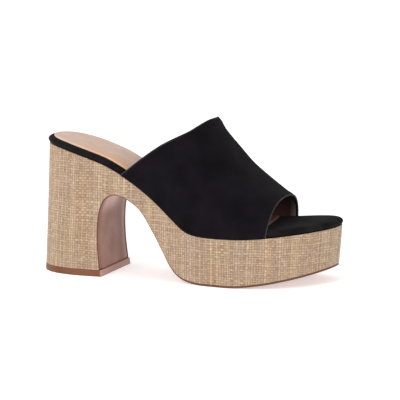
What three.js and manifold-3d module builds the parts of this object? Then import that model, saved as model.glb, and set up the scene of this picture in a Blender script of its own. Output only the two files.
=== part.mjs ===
// Open-toe platform mule for the right foot, in millimetres.
// The shoe is drawn on the heel's centre line: x runs forward from the back of the footbed,
// y towards the inner side of the foot, z up from the floor. The whole shoe is then moved
// so that the middle of the heel lift's flat face is the origin.

import * as THREE from "three";
import { mergeVertices } from "three/addons/utils/BufferGeometryUtils.js";
import Module from "manifold-3d";

const wasm = await Module();
wasm.setup();

// Places along the shoe, from the back of the footbed
const LENGTH = 227.5; // toe tip
const BREAST = 53.2; // front face of the heel
const TREAD_BACK = 137; // where the arch comes down to the floor
const TREAD_FRONT = 157; // where the toe spring starts
const COLLAR_BASE = 69; // back edge of the upper where it meets the platform
const COLLAR_TOP = 131; // highest point of the upper
const OPENING_BASE = 186; // edge of the toe opening where it meets the platform

// Widths and heights
const BALL_WIDTH = 88; // footbed across the ball
const SEAT_HEIGHT = 99; // covered heel under the back of the footbed
const PLATFORM_HEIGHT = 37; // covered platform under the ball
const ARCH_HEIGHT = 63.4; // crown of the arch between heel and tread
const TOE_SPRING = 12.6; // lift of the sole at the toe tip
const INSTEP_HEIGHT = 85.5; // upper over the platform at the top of the collar

// Thicknesses of the pieces
const LIFT_THICKNESS = 5;
const SOLE_THICKNESS = 1.5;
const FOOTBED_THICKNESS = 5.4;
const SOCK_THICKNESS = 1.2;
const UPPER_WALL = 1.8;
const GAP = 0.3; // clearance between neighbouring pieces

// Small forms
const PLATFORM_EDGE = 0.8; // platform's wall outside the footbed's outline
const HEEL_FLARE = 3.6; // widening of the heel at the floor
const TOE_TAPER = 3; // narrowing of the platform at the floor
const WALL_CURVE = 1.25; // above 1 the lean of the wall gathers towards the floor
const LIFT_REACH = 1.8; // heel lift ahead of the breast, at the floor
const SOLE_EDGE = 0.2; // outsole beyond the platform's wall
const RIM_BULGE = 1.1; // rounded edge of the footbed where no upper covers it
const RIM_RAMP = 9; // length over which that edge flattens under the upper
const RIM_ROUND = 1.5; // rounding of the footbed's upper and lower edge
const SOCK_INSET = 3.4; // footbed's rim left bare round the sock
const SOCK_ROUND = 0.5; // rounding of the sock's edge
const SOCK_FRONT_OUTER = 184; // sock's front edge at the outer side
const SOCK_FRONT_INNER = 176; // and at the inner side
const CUP_DEPTH = 1.3; // hollow of the footbed under the heel
const CUP_CENTRE = 36;
const CUP_LENGTH = 66;
const OPENING_BOW = 2.5; // toe opening's edge further forward at the top
const SIDE_BULGE = 1.4; // last beyond the footbed's edge at half its height
const SKIVED_SHARE = 0.65; // share of the upper's wall left at its lower edge

// Forms of curves
const COLLAR_SWEEP = 0.86; // below 1 the collar runs forward faster than it climbs
const SECTION_FULLNESS = 2.25; // 2 is an ellipse, more is squarer
const TOE_SPRING_CURVE = 1.5;

// Grid counts
const OUTLINE_STEPS = 64; // stations from heel back to toe tip
const BED_STEPS = 6; // cells across the footbed
const WALL_STEPS = 3; // levels in the platform's wall
const ARCH_STEPS = 34;
const TOE_STEPS = 9;
const RIM_STEPS = 4;
const UPPER_LENGTH_STEPS = 22;
const UPPER_ROUND_STEPS = 34;

// Footbed outline: along is a share of LENGTH, outer and inner are shares of BALL_WIDTH
const OUTLINE = [
  { along: 0, outer: 0, inner: 0 },
  { along: 0.044, outer: -0.233, inner: 0.233 },
  { along: 0.132, outer: -0.32, inner: 0.32 },
  { along: 0.263, outer: -0.316, inner: 0.302 },
  { along: 0.395, outer: -0.327, inner: 0.28 },
  { along: 0.526, outer: -0.386, inner: 0.335 },
  { along: 0.658, outer: -0.432, inner: 0.472 },
  { along: 0.746, outer: -0.42, inner: 0.551 },
  { along: 0.833, outer: -0.341, inner: 0.585 },
  { along: 0.912, outer: -0.188, inner: 0.568 },
  { along: 0.965, outer: -0.011, inner: 0.506 },
  { along: 1, outer: 0.307, inner: 0.307 },
];

// Platform's upper face: rise is the share of the climb from the ball to the heel seat
const TOP_LINE = [
  { along: 0, rise: 1 },
  { along: 0.06, rise: 0.971 },
  { along: 0.12, rise: 0.922 },
  { along: 0.19, rise: 0.848 },
  { along: 0.255, rise: 0.76 },
  { along: 0.342, rise: 0.586 },
  { along: 0.43, rise: 0.362 },
  { along: 0.5, rise: 0.154 },
  { along: 0.54, rise: 0.049 },
  { along: 0.585, rise: 0.008 },
  { along: 0.675, rise: 0 },
  { along: 0.755, rise: 0.011 },
  { along: 0.83, rise: 0.034 },
  { along: 0.9, rise: 0.061 },
  { along: 1, rise: 0.097 },
];

// Underside from the breast over the arch to the tread: reach is the share of the way from
// BREAST to TREAD_BACK, rise the share of ARCH_HEIGHT
const ARCH = [
  { reach: -0.024, rise: 0.36 },
  { reach: -0.028, rise: 0.64 },
  { reach: -0.012, rise: 0.82 },
  { reach: 0.036, rise: 0.95 },
  { reach: 0.13, rise: 1 },
  { reach: 0.235, rise: 0.958 },
  { reach: 0.36, rise: 0.845 },
  { reach: 0.485, rise: 0.615 },
  { reach: 0.608, rise: 0.355 },
  { reach: 0.672, rise: 0.21 },
  { reach: 0.735, rise: 0.112 },
  { reach: 0.81, rise: 0.048 },
  { reach: 0.9, rise: 0.014 },
  { reach: 1, rise: 0 },
];

// Covered wall of heel and platform: edge is its place under the footbed, a share of
// PLATFORM_EDGE, and lean its widening at the floor, a share of HEEL_FLARE above 0 and of
// TOE_TAPER below
const WALL = [
  { along: 0, edge: -0.4, lean: 0.35 },
  { along: 0.045, edge: 0.2, lean: 1 },
  { along: 0.1, edge: 0.6, lean: 1.2 },
  { along: 0.24, edge: 1, lean: 0.9 },
  { along: 0.36, edge: 1, lean: 0.1 },
  { along: 0.6, edge: 1, lean: -0.75 },
  { along: 0.85, edge: 1, lean: -0.85 },
  { along: 1, edge: 0.3, lean: -1 },
];

// Last over the platform: height is a share of INSTEP_HEIGHT, ridge the share of the width
// from the outer side, bulge a share of SIDE_BULGE
const LAST = [
  { along: 0.29, height: 1.26, ridge: 0.58, bulge: 0.6 },
  { along: 0.4, height: 1.16, ridge: 0.61, bulge: 0.8 },
  { along: 0.5, height: 1.075, ridge: 0.635, bulge: 1 },
  { along: 0.572, height: 1, ridge: 0.635, bulge: 1 },
  { along: 0.6, height: 0.895, ridge: 0.63, bulge: 1 },
  { along: 0.643, height: 0.76, ridge: 0.62, bulge: 1 },
  { along: 0.7, height: 0.59, ridge: 0.59, bulge: 0.7 },
  { along: 0.774, height: 0.415, ridge: 0.54, bulge: 0 },
  { along: 0.823, height: 0.305, ridge: 0.51, bulge: -0.6 },
  { along: 0.87, height: 0.24, ridge: 0.5, bulge: -0.8 },
];

const { clamp, lerp, smoothstep } = THREE.MathUtils;
const OUTWARDS = { outer: -1, inner: 1 };

// Smooth curve through a table's rows: column `value` where column `key` is `at`.
function read(rows, key, value, at) {
  const last = rows.length - 1;
  const place = clamp(at, rows[0][key], rows[last][key]);
  let i = 0;
  while (i < last - 1 && rows[i + 1][key] < place) i += 1;
  const secant = (a, b) => (rows[b][value] - rows[a][value]) / (rows[b][key] - rows[a][key]);
  const slope = (k) => {
    if (k === 0) return (3 * secant(0, 1) - secant(0, 2)) / 2;
    if (k === last) return (3 * secant(last - 1, last) - secant(last - 2, last)) / 2;
    return secant(k - 1, k + 1);
  };
  const width = rows[i + 1][key] - rows[i][key];
  const t = (place - rows[i][key]) / width;
  const rest = 1 - t;
  return (
    rest * rest * (1 + 2 * t) * rows[i][value] +
    t * t * (1 + 2 * rest) * rows[i + 1][value] +
    t * rest * width * (rest * slope(i) - t * slope(i + 1))
  );
}

// The outline is read over a turn that runs from 0 at the heel back to pi at the toe tip,
// which makes both ends round.
const turnOf = (along) => Math.acos(1 - 2 * clamp(along, 0, 1));
const outlineRows = OUTLINE.map((row) => ({ ...row, turn: turnOf(row.along) }));

function outlinePoint(side, turn) {
  const x = (LENGTH * (1 - Math.cos(turn))) / 2;
  return new THREE.Vector2(x, BALL_WIDTH * read(outlineRows, "turn", side, turn));
}

const edgeY = (side, x) => outlinePoint(side, turnOf(x / LENGTH)).y;

function platformTop(x) {
  const climb = read(TOP_LINE, "along", "rise", x / LENGTH);
  return lerp(PLATFORM_HEIGHT, SEAT_HEIGHT, climb);
}

const footbedBase = (x) => platformTop(x) + GAP;

// Upper face of the footbed, hollowed under the heel.
function footbedTop(x, y) {
  const outer = edgeY("outer", x);
  const inner = edgeY("inner", x);
  const half = Math.max((inner - outer) / 2, GAP);
  const across = clamp((y - (outer + inner) / 2) / half, -1, 1);
  const along = clamp((2 * (x - CUP_CENTRE)) / CUP_LENGTH, -1, 1);
  const cup = CUP_DEPTH * (1 - along * along) ** 2 * (1 - across * across);
  return footbedBase(x) + FOOTBED_THICKNESS - cup;
}

// How far the covered wall of heel and platform stands outside the footbed's outline.
function wallOffset(x, z) {
  const edge = PLATFORM_EDGE * read(WALL, "along", "edge", x / LENGTH);
  const lean = read(WALL, "along", "lean", x / LENGTH);
  const full = lean > 0 ? lean * HEEL_FLARE : lean * TOE_TAPER;
  const down = clamp(1 - z / platformTop(x), 0, 1);
  return edge + full * down ** WALL_CURVE;
}

// Points along one side of the footbed's outline from the heel back to x = reach, each moved
// outwards by offset(x).
function sidePoints(side, offset, reach) {
  const endTurn = turnOf(reach / LENGTH);
  const points = [];
  for (let i = 0; i <= OUTLINE_STEPS; i += 1) {
    const turn = (endTurn * i) / OUTLINE_STEPS;
    const point = outlinePoint(side, turn);
    const ahead = outlinePoint(side, Math.min(turn + 0.01, Math.PI));
    const tangent = ahead.sub(outlinePoint(side, Math.max(turn - 0.01, 0))).normalize();
    const normal = new THREE.Vector2(-tangent.y, tangent.x).multiplyScalar(OUTWARDS[side]);
    if (turn === 0) normal.set(-1, 0);
    if (turn === Math.PI) normal.set(1, 0);
    points.push(point.addScaledVector(normal, offset(point.x)));
  }
  return points;
}

// One level of a stacked piece: both sides of its outline and its height over the plan.
function level(offset, height, outerReach = LENGTH, innerReach = outerReach) {
  return {
    outer: sidePoints("outer", offset, outerReach),
    inner: sidePoints("inner", offset, innerReach),
    height,
  };
}

// Corners of the triangles over a grid of points; reversed turns the faces round.
function gridCorners(rows, reversed = false) {
  const corners = [];
  for (let i = 0; i < rows.length - 1; i += 1) {
    for (let j = 0; j < rows[i].length - 1; j += 1) {
      const [a, b, c, d] = [rows[i][j], rows[i + 1][j], rows[i + 1][j + 1], rows[i][j + 1]];
      if (reversed) corners.push(a, c, b, a, d, c);
      else corners.push(a, b, c, a, c, d);
    }
  }
  return corners;
}

// A geometry of closed triangles as a solid that can be joined and cut.
function toSolid(geometry) {
  const bare = new THREE.BufferGeometry();
  bare.setAttribute("position", geometry.attributes.position);
  bare.setIndex(geometry.index);
  const merged = mergeVertices(bare, 1e-4);
  const index = merged.index.array;
  const kept = [];
  for (let i = 0; i < index.length; i += 3) {
    const [a, b, c] = [index[i], index[i + 1], index[i + 2]];
    if (a !== b && b !== c && c !== a) kept.push(a, b, c);
  }
  const vertProperties = new Float32Array(merged.attributes.position.array);
  const triVerts = new Uint32Array(kept);
  return new wasm.Manifold(new wasm.Mesh({ numProp: 3, vertProperties, triVerts }));
}

const cornersToSolid = (corners) => toSolid(new THREE.BufferGeometry().setFromPoints(corners));

// A sheet or block between stacked levels, lowest first.
function stack(levels, acrossSteps) {
  const layers = levels.map(({ outer, inner, height }) =>
    outer.map((start, i) => {
      const row = [];
      for (let j = 0; j <= acrossSteps; j += 1) {
        const point = start.clone().lerp(inner[i], j / acrossSteps);
        row.push(new THREE.Vector3(point.x, point.y, height(point.x, point.y)));
      }
      return row;
    }),
  );
  return cornersToSolid([
    ...gridCorners(layers.map((rows) => rows.map((row) => row[0])), true),
    ...gridCorners(layers.map((rows) => rows.map((row) => row[acrossSteps]))),
    ...gridCorners(layers.map((rows) => rows[OUTLINE_STEPS]), true),
    ...gridCorners(layers[0], true),
    ...gridCorners(layers.at(-1)),
  ]);
}

// Block inside the covered wall, from a flat base up to the platform's upper face.
function wallBlock(base, extra) {
  const levels = [];
  for (let k = 0; k <= WALL_STEPS; k += 1) {
    const height = (x) => lerp(base, platformTop(x), k / WALL_STEPS);
    levels.push(level((x) => wallOffset(x, height(x)) + extra, height));
  }
  return stack(levels, 1);
}

// Ground line of the outsole in side view, from the foot of the breast to past the toe tip.
function groundLine() {
  const start = new THREE.Vector3(BREAST, LIFT_THICKNESS + GAP, 0);
  const rows = ARCH.map(({ reach, rise }) => {
    return new THREE.Vector3(lerp(BREAST, TREAD_BACK, reach), ARCH_HEIGHT * rise, 0);
  });
  const arch = new THREE.CatmullRomCurve3([start, ...rows]);
  const points = arch.getSpacedPoints(ARCH_STEPS);
  for (let i = 0; i <= TOE_STEPS; i += 1) {
    const share = (1.1 * i) / TOE_STEPS;
    const x = lerp(TREAD_FRONT, LENGTH, share);
    points.push(new THREE.Vector3(x, TOE_SPRING * share ** TOE_SPRING_CURVE, 0));
  }
  return points.map((point) => new THREE.Vector2(point.x, point.y));
}

// The ground line moved into the shoe by a distance.
function raisedLine(distance) {
  const line = groundLine();
  return line.map((point, i) => {
    const before = line[Math.max(i - 1, 0)];
    const after = line[Math.min(i + 1, line.length - 1)];
    const tangent = after.clone().sub(before).normalize();
    return point.clone().add(new THREE.Vector2(-tangent.y, tangent.x).multiplyScalar(distance));
  });
}

// A side-view outline carried right across the shoe.
function acrossShoe(points) {
  const width = 2 * BALL_WIDTH;
  const geometry = new THREE.ExtrudeGeometry(new THREE.Shape(points), {
    depth: width,
    bevelEnabled: false,
    steps: 1,
  });
  geometry.rotateX(Math.PI / 2);
  geometry.translate(0, width / 2, 0);
  return toSolid(geometry);
}

function platformSolid() {
  const line = raisedLine(SOLE_THICKNESS + GAP);
  const below = -SEAT_HEIGHT;
  const space = acrossShoe([
    ...line,
    new THREE.Vector2(line.at(-1).x, below),
    new THREE.Vector2(line[0].x, below),
  ]);
  return wallBlock(LIFT_THICKNESS + GAP, 0).subtract(space);
}

function outsoleSolid() {
  const band = acrossShoe([...groundLine(), ...raisedLine(SOLE_THICKNESS).reverse()]);
  return wallBlock(-SOLE_THICKNESS, SOLE_EDGE).intersect(band);
}

function heelLiftSolid() {
  const wall = (height) => (x) => wallOffset(x, height);
  const floor = level(wall(0), () => 0, BREAST + LIFT_REACH);
  const seat = level(wall(LIFT_THICKNESS), () => LIFT_THICKNESS, BREAST);
  return stack([floor, seat], 1);
}

// Share of the footbed's rounded edge that stands free, 0 where the upper covers it.
function rimFreedom(x) {
  const behind = 1 - smoothstep(x, COLLAR_BASE - RIM_RAMP, COLLAR_BASE);
  return behind + smoothstep(x, OPENING_BASE + OPENING_BOW, OPENING_BASE + RIM_RAMP);
}

function footbedSolid() {
  const levels = [];
  for (let k = 0; k <= RIM_STEPS; k += 1) {
    const share = k / RIM_STEPS;
    const round = Math.sin(Math.PI * share) ** 0.7;
    const offset = (x) => RIM_BULGE * rimFreedom(x) * round - RIM_ROUND * (1 - round);
    levels.push(level(offset, (x, y) => lerp(footbedBase(x), footbedTop(x, y), share)));
  }
  return stack(levels, BED_STEPS);
}

function sockSolid() {
  const lift = (height) => (x, y) => footbedTop(x, y) + GAP + height;
  const edge = (inset, height) =>
    level(() => -SOCK_INSET - inset, lift(height), SOCK_FRONT_OUTER, SOCK_FRONT_INNER);
  const shoulder = SOCK_THICKNESS - SOCK_ROUND;
  return stack([edge(0, 0), edge(0, shoulder), edge(SOCK_ROUND, SOCK_THICKNESS)], BED_STEPS);
}

// How high a place on the last's section is, from 0 at the footbed's edge to 1 on the ridge.
const climbAt = (turn) => Math.abs(Math.sin(turn)) ** (2 / SECTION_FULLNESS);

// Point on the last: turn runs from 0 at the outer edge over the ridge to pi at the inner
// edge, along from 0 at the collar to 1 at the toe opening.
function lastPoint(along, turn) {
  const side = turn < Math.PI / 2 ? "outer" : "inner";
  const climb = climbAt(turn);
  const back = lerp(COLLAR_BASE, COLLAR_TOP, climb ** COLLAR_SWEEP);
  const x = lerp(back, OPENING_BASE + OPENING_BOW * climb, along);
  const ridgeShare = read(LAST, "along", "ridge", x / LENGTH);
  const ridge = lerp(edgeY("outer", x), edgeY("inner", x), ridgeShare);
  const bulgeShare = read(LAST, "along", "bulge", x / LENGTH);
  const bulge = SIDE_BULGE * bulgeShare * (4 * climb * (1 - climb)) ** 2;
  const edge = edgeY(side, x) + OUTWARDS[side] * (GAP + bulge);
  const spread = Math.abs(Math.cos(turn)) ** (2 / SECTION_FULLNESS);
  const height = INSTEP_HEIGHT * read(LAST, "along", "height", x / LENGTH);
  return new THREE.Vector3(x, lerp(ridge, edge, spread), footbedBase(x) + height * climb);
}

// Point on the outside of the upper, a wall's thickness out from the last.
function upperPoint(along, turn) {
  const step = 0.01;
  const forward = lastPoint(along + step, turn).sub(lastPoint(along - step, turn));
  const next = lastPoint(along, Math.min(turn + step, Math.PI));
  const round = next.sub(lastPoint(along, Math.max(turn - step, 0)));
  const normal = forward.cross(round);
  const climb = climbAt(turn);
  const atBase = climb < 0.01;
  if (atBase) normal.z = 0;
  const wall = UPPER_WALL * lerp(SKIVED_SHARE, 1, smoothstep(climb, 0, 0.15));
  const point = lastPoint(along, turn).addScaledVector(normal.normalize(), wall);
  if (atBase) point.z = footbedBase(point.x);
  return point;
}

function upperSolid() {
  const skin = (pointAt) => {
    const rows = [];
    for (let i = 0; i <= UPPER_LENGTH_STEPS; i += 1) {
      const row = [];
      for (let j = 0; j <= UPPER_ROUND_STEPS; j += 1) {
        row.push(pointAt(i / UPPER_LENGTH_STEPS, (Math.PI * j) / UPPER_ROUND_STEPS));
      }
      rows.push(row);
    }
    return rows;
  };
  const inside = skin(lastPoint);
  const outside = skin(upperPoint);
  const edgeAlong = (j) => [inside.map((row) => row[j]), outside.map((row) => row[j])];
  return cornersToSolid([
    ...gridCorners(outside),
    ...gridCorners(inside, true),
    ...gridCorners([inside[0], outside[0]]),
    ...gridCorners([inside.at(-1), outside.at(-1)], true),
    ...gridCorners(edgeAlong(0), true),
    ...gridCorners(edgeAlong(UPPER_ROUND_STEPS)),
  ]);
}

// A solid as a named mesh with its own material.
function toMesh(name, solid, look) {
  const data = solid.getMesh();
  const geometry = new THREE.BufferGeometry();
  geometry.setAttribute("position", new THREE.BufferAttribute(data.vertProperties, 3));
  geometry.setIndex(new THREE.BufferAttribute(data.triVerts, 1));
  geometry.computeVertexNormals();
  const mesh = new THREE.Mesh(geometry, new THREE.MeshStandardMaterial({ metalness: 0, ...look }));
  mesh.name = name;
  return mesh;
}

const shoe = new THREE.Group();
shoe.add(
  toMesh("platform_and_heel", platformSolid(), { color: 0xc6aa82, roughness: 0.85 }),
  toMesh("heel_lift", heelLiftSolid(), { color: 0xa5735a, roughness: 0.6 }),
  toMesh("outsole", outsoleSolid(), { color: 0x96756a, roughness: 0.45 }),
  toMesh("footbed", footbedSolid(), { color: 0x1c1a1c, roughness: 0.95 }),
  toMesh("insole_sock", sockSolid(), { color: 0xd5bca8, roughness: 0.55 }),
  toMesh("upper", upperSolid(), { color: 0x1c1a1c, roughness: 0.95 }),
);
shoe.position.set(-(BREAST + LIFT_REACH) / 2, 0, 0);

export default shoe;
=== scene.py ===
import math

import bmesh
import bpy
import numpy as np
from mathutils import Matrix, Vector


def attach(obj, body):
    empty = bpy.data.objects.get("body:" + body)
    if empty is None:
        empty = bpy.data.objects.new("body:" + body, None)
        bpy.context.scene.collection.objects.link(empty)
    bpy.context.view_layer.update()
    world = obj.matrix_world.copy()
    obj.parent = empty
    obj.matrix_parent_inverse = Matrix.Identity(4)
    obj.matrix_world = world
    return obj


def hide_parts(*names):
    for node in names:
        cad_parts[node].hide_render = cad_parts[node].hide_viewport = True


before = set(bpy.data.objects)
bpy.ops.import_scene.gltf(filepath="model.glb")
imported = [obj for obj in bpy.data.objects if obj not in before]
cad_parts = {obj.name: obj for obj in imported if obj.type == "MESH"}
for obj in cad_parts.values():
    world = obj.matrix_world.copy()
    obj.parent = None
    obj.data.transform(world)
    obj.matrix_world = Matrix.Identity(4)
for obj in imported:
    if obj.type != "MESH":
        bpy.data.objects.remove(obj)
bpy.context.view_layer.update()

# Places along the shoe, from the back of the footbed
LENGTH = 227.5
BREAST = 53.2
TREAD_BACK = 137.0
TREAD_FRONT = 157.0
COLLAR_BASE = 67.3
COLLAR_TOP = 131.0
OPENING_BASE = 186.0

# Widths and heights
BALL_WIDTH = 88.0
SEAT_HEIGHT = 99.0
PLATFORM_HEIGHT = 37.0
ARCH_HEIGHT = 63.4
TOE_SPRING = 12.6
INSTEP_HEIGHT = 85.5

# Thicknesses of the pieces
LIFT_THICKNESS = 5.0
SOLE_THICKNESS = 1.5
FOOTBED_THICKNESS = 5.4
SOCK_THICKNESS = 1.2
UPPER_WALL = 1.8
GAP = 0.3

# Small forms of the solids
PLATFORM_EDGE = 0.8
HEEL_FLARE = 3.6
TOE_TAPER = 3.0
WALL_CURVE = 1.25
LIFT_REACH = 1.8
RIM_BULGE = 1.1
RIM_RAMP = 9.0
RIM_ROUND = 1.5
SOCK_INSET = 3.4
SOCK_FRONT_OUTER = 183.0
SOCK_FRONT_INNER = 172.5
CUP_DEPTH = 1.3
CUP_CENTRE = 36.0
CUP_LENGTH = 66.0
OPENING_BOW = 2.5
SIDE_BULGE = 1.4
SKIVED_SHARE = 0.65
COLLAR_SWEEP = 0.9
SECTION_FULLNESS = 2.25
TOE_SPRING_CURVE = 1.5

# Woven cover
YARN_PITCH = 1.85  # from one yarn to the next
YARN_UNEVEN = 0.3  # how far a yarn's width strays, as a share
YARN_RADIUS = 0.22  # half the height of a yarn
YARN_CRIMP = 0.1  # climb of a yarn over the yarns it crosses
WEFT_SUNK = 0.04  # how much lower the level yarns lie
YARN_SLUB = 0.18  # thick and thin places along a yarn, as a share of its height
YARN_WANDER = 0.45  # sideways drift of the yarns
YARN_CELLS = 5  # cells across one yarn
COVER_SEAT = 0.06  # cover's backing outside the solid's wall
COVER_HEM = 0.9  # cloth turned in at every edge
COVER_LAP = 0.18  # cover's edges nearer to footbed, sole and lift than the solid's
COVER_FOOT = LIFT_THICKNESS + GAP - COVER_LAP
ARCH_EDGE = 0.7  # sheet's edge left bare under the cover in the arch
TREAD_FADE = 38.0, 4.0  # behind the tread, where the bare edge begins to widen and ends
YARN_BACK = 1.9  # narrowness of a yarn's round back, 2 for one as wide as the pitch
CRIMP_STEEPNESS = 2.5
CRIMP_SHOWN = 0.6  # crimp in the shader's weave, against a yarn's height of 1
GAP_SHADE = 0.6  # how dark the painted shade between the yarns turns the straw
SLUB_LENGTHS = 4.3, 1.7  # the two waves of a slub, in yarns for each radian
WIDTH_SEEDS = 1, 2  # of warp and weft
SLUB_SEEDS = 11, 12
MOST_YARNS = 400  # more than there are in either direction
WARP_DRIFT = (19.0, 2.0, 2), (8.0, 5.0, 3)  # millimetres a radian, bend, waves of the bend
WEFT_DRIFT = (7, 40.0, 0.0), (19, 23.0, 1.0)  # waves, millimetres a radian of lean, start

# Fine forms of the other pieces
SOLE_EDGE = 0.5  # sole's edge beyond the solid's wall, level with the woven cover
SOLE_ROUND = 0.35
ARCH_INSET = 0.25  # sole's edge inside the solid's wall in the arch
BREAST_FALL = 0.6  # how far the sheet's outer face falls back at its edges in the arch
FALL_WIDTH = 7.0
HIGHLIGHT_STRIP_WIDTH = 7.0, 10.0  # painted highlight: slightly paler strip along the breast's inner edge
HIGHLIGHT_STRIP_SHARE = 0.15
BREAST_CREASE_SHADE = 13.5, 4.5  # painted shade of a crease beside the strip: way from the same edge, width
BREAST_CREASE_SHADE_SHARE = 0.4
CROWN_HIGHLIGHT_HEIGHT = 45.0, 57.0  # painted highlight on the crown of the arch on its outer side
CROWN_HIGHLIGHT_SHARE = 0.75
CROWN_HIGHLIGHT_EDGE = 2.0, 10.0  # from the sheet's edges, where the crown begins and is full
CROWN_HIGHLIGHT_SIDE = -0.1, 0.5  # across the half width, where it fades towards the inner side
BREAST_SHIFT = 20.0, 40.0  # how much earlier than the bare edge the fall and the tones end
LIFT_PROUD = 0.45
LIFT_ROUND = 0.6
LIFT_TOP_REACH = 1.1  # lift's front beyond the breast at its upper edge
LIFT_LIT_FRONT = 1.2, 0.4  # behind its front, where the front's painted light begins and is full
LIFT_SOFTENED = 3  # rounds of softening at the lift's corners
FOLD_LIP = 1.3  # folded suede seen inside the upper's edges
FOLD_SWELL = 0.22  # fullness of the folded edges
FOLD_HIGHLIGHT_WIDTH = 0.8  # width of the painted highlight along a folded edge
FOLD_FULL = 0.4, 6.5  # from the folded edge, where the fullness begins and ends
HEM_GAP = 0.2  # from the fold's lip to the lining's edge
LINING_CLEAR = 0.96, 0.98  # shares at its edge and face that keep it off the suede
SKIVED_CLIMB = 0.15  # height share on the last up to which the wall is skived
CREASED_CLIMB = 0.02, 0.2  # height shares where creases begin and are full
CREASE_START = -0.15, 0.3  # shares of a crease's way where it begins and is full
CREASE_END = 0.7, 1.15  # and where it begins to fade and ends
FOOT_CLIMB = 0.01  # height share below which a place counts as the lower edge
LINING_SHARE = 0.36  # lining's share of the upper's wall
LINING_LIT_WIDTH = 5.5  # width of the painted light on the lining low inside the toe opening
LINING_LIT_TURNS = 2.3, 2.9  # turns at which that painted light begins and is full
RIM_FULLNESS = 0.7  # power of the sine that rounds the footbed's rim
SOCK_SWELL = 0.5  # foam under the sock
SOCK_ROUND = 1.1  # width of the quarter round at the sock's edge
SOCK_SHOULDER = 5.0  # width of the flat border round the swell
SOCK_FULLNESS = 0.8  # power of the swell's 1 - ray^2
SOCK_LIFT = 0.35, 0.05  # height of its edge and of its lower face over the footbed
SOCK_SOFTENED = 6  # rounds of softening at the sock's corners
SOCK_OUTER = 10.0, 26.0  # from the centre line, where the outer side begins and is full
SOCK_WARM = 22.0, 48.0  # where its outer edge turns warmer ahead of the heel: a warm tint, partly painted light against the upper's shade near the collar
WARM_RAY = 0.25, 0.9  # shares of the way outwards where that begins and is full
SOCK_UNDER_SHADE = 150.0, 172.0  # where painted shade turns it brown under the vamp
TOE_SWELL = 0.5  # soft crown of the bare toe bed
UPPER_STEPS = 90  # cells from collar to toe opening
UPPER_TURNS = 221  # grid lines round the upper

# Finishes, in sRGB from 0 to 255
WHITE = (255, 255, 255)
STRAW_PALE = (213, 187, 157)
STRAW_TAWNY = (143, 112, 83)
STRAW_GREY = (204, 180, 158)
STRAW_DULL = (132, 104, 81)
# darkest straw: the painted shade between the yarns, and the core's darker tone
STRAW_SHADE = (78, 54, 37)
SUEDE_DARK = (16, 12, 17)
SUEDE_BRUSHED = (24, 20, 26)
# painted highlight along the upper's folded edges
SUEDE_PAINTED_HIGHLIGHT = (78, 75, 75)
BED_DARK = (16, 14, 15)
BED_BRUSHED = (34, 31, 32)
SOCK_TONES = (230, 202, 184), (219, 187, 167), (230, 186, 152)
# painted shade on the sock under the vamp
SOCK_PAINTED_SHADE = (112, 78, 62)
# lining tones darkened to paint the shade inside the vamp; the third is painted light low inside
# the toe opening
LINING_TONES = (82, 58, 50), (62, 42, 36), (172, 146, 140)
# the sole's third tone darkens its rounded edges and is painted shade in the breast's crease
SOLE_TONES = (153, 102, 79), (139, 89, 67), (100, 58, 38)
# painted highlight on the sole sheet's breast edge and arch crown
SOLE_PAINTED_HIGHLIGHT = (222, 184, 176)
# the lift's third tone is painted light on its front face
LIFT_TONES = (128, 82, 58), (112, 68, 45), (184, 148, 136)

# Roughness, specular level, sheen weight and sheen roughness of each finish
STRAW_SHADER = 0.72, 0.3, 0.4, 0.25
SUEDE_SHADER = 0.95, 0.05, 0.02, 0.5
CORE_SHADER = 0.85, 0.2
SOCK_SHADER = 0.5, 0.3
SOLE_SHADER = 0.42, 0.4
LIFT_SHADER = 0.6, 0.3
FLOOR_SHADER = 0.9, 0.1

# Photograph's camera, in the frame's metres and degrees
CAMERA_AZIMUTH = 18.86
CAMERA_ELEVATION = 8.75
CAMERA_ROLL = 0.97
CAMERA_DISTANCE = 1.866
CAMERA_LENS = 216.6  # this and the sensor's width in millimetres
CAMERA_SENSOR = 36
CAMERA_REACH = 100
CAMERA_TARGET = Vector((0.08925, 0.0175, 0.05694))

# Studio lights: place in metres, size of the square and watts
LIGHTS = {
    "key_front": ((-0.3, -1.7, 1.2), 1.0, 15),
    "fill_right": ((1.5, -0.6, 0.5), 0.8, 5),
    "rim_left": ((-1.5, 0.2, 0.6), 0.7, 6),
}
LIGHT_TARGET = Vector((0.09, 0.0, 0.06))
WORLD_STRENGTH = 0.62
FLOOR_GLOW = 0.45
FLOOR_HALF = 6  # half the floor's width, in metres
FLOOR_TONES = (248, 248, 248), (252, 252, 252)

OUTWARDS = {"outer": -1.0, "inner": 1.0}
MILLIMETRE = 0.001
HEEL_CENTRE = (BREAST + LIFT_REACH) / 2

# Fineness of curves and meshes
WELD = 2e-4  # size of the cells in which points become one
WELD_SHIFT = 0.37  # of the cells, so that round numbers lie inside them
NORMAL_STEP = 0.01  # to either side of a place for its tangents
HALVINGS = 34  # of the range in which a turn is looked for
RUN_TURNS = 6001  # places at which the way round the outline is added up
ARCH_STEPS = 40  # between two rows of the arch
SPRING_POINTS = 200  # of the toe spring
LINE_STEP = 0.8  # between the points of the sole's side view
HEEL_POINTS = 40  # of the cover's lower border over the lift
WAY_STEPS = 41  # places at which the way from collar to toe opening is added up
BORDER_STEP = 1.2  # between the points of the cover's lower border
BORDER_TURNS = 260  # points of its upper border on each side
LOTS = 24  # in which the cover's points are drawn to its border
OUTLINE_TURNS = 261  # points of footbed and sock on each side
SIDE_POINTS = 120  # on each side of a level outline
LIFT_POINTS = 420  # round the lift
SOCK_POINTS = 640  # round the sock
TIP_ROUNDS = 5  # steps of the search for the sheet's tip
TIP_STEPS = 12  # last rows of the sheet up to its tip
SHEET_ROUND = 4  # points of the sheet's quarter rounds
SHEET_STEPS = 41  # lines over the sheet's width, ends counted
BED_LEVELS = 15, 18, 9  # rings of the footbed's upper face, rim and lower face
SOCK_LEVELS = 20, 16, 8  # rings of the sock's swell, border and lower face
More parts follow.
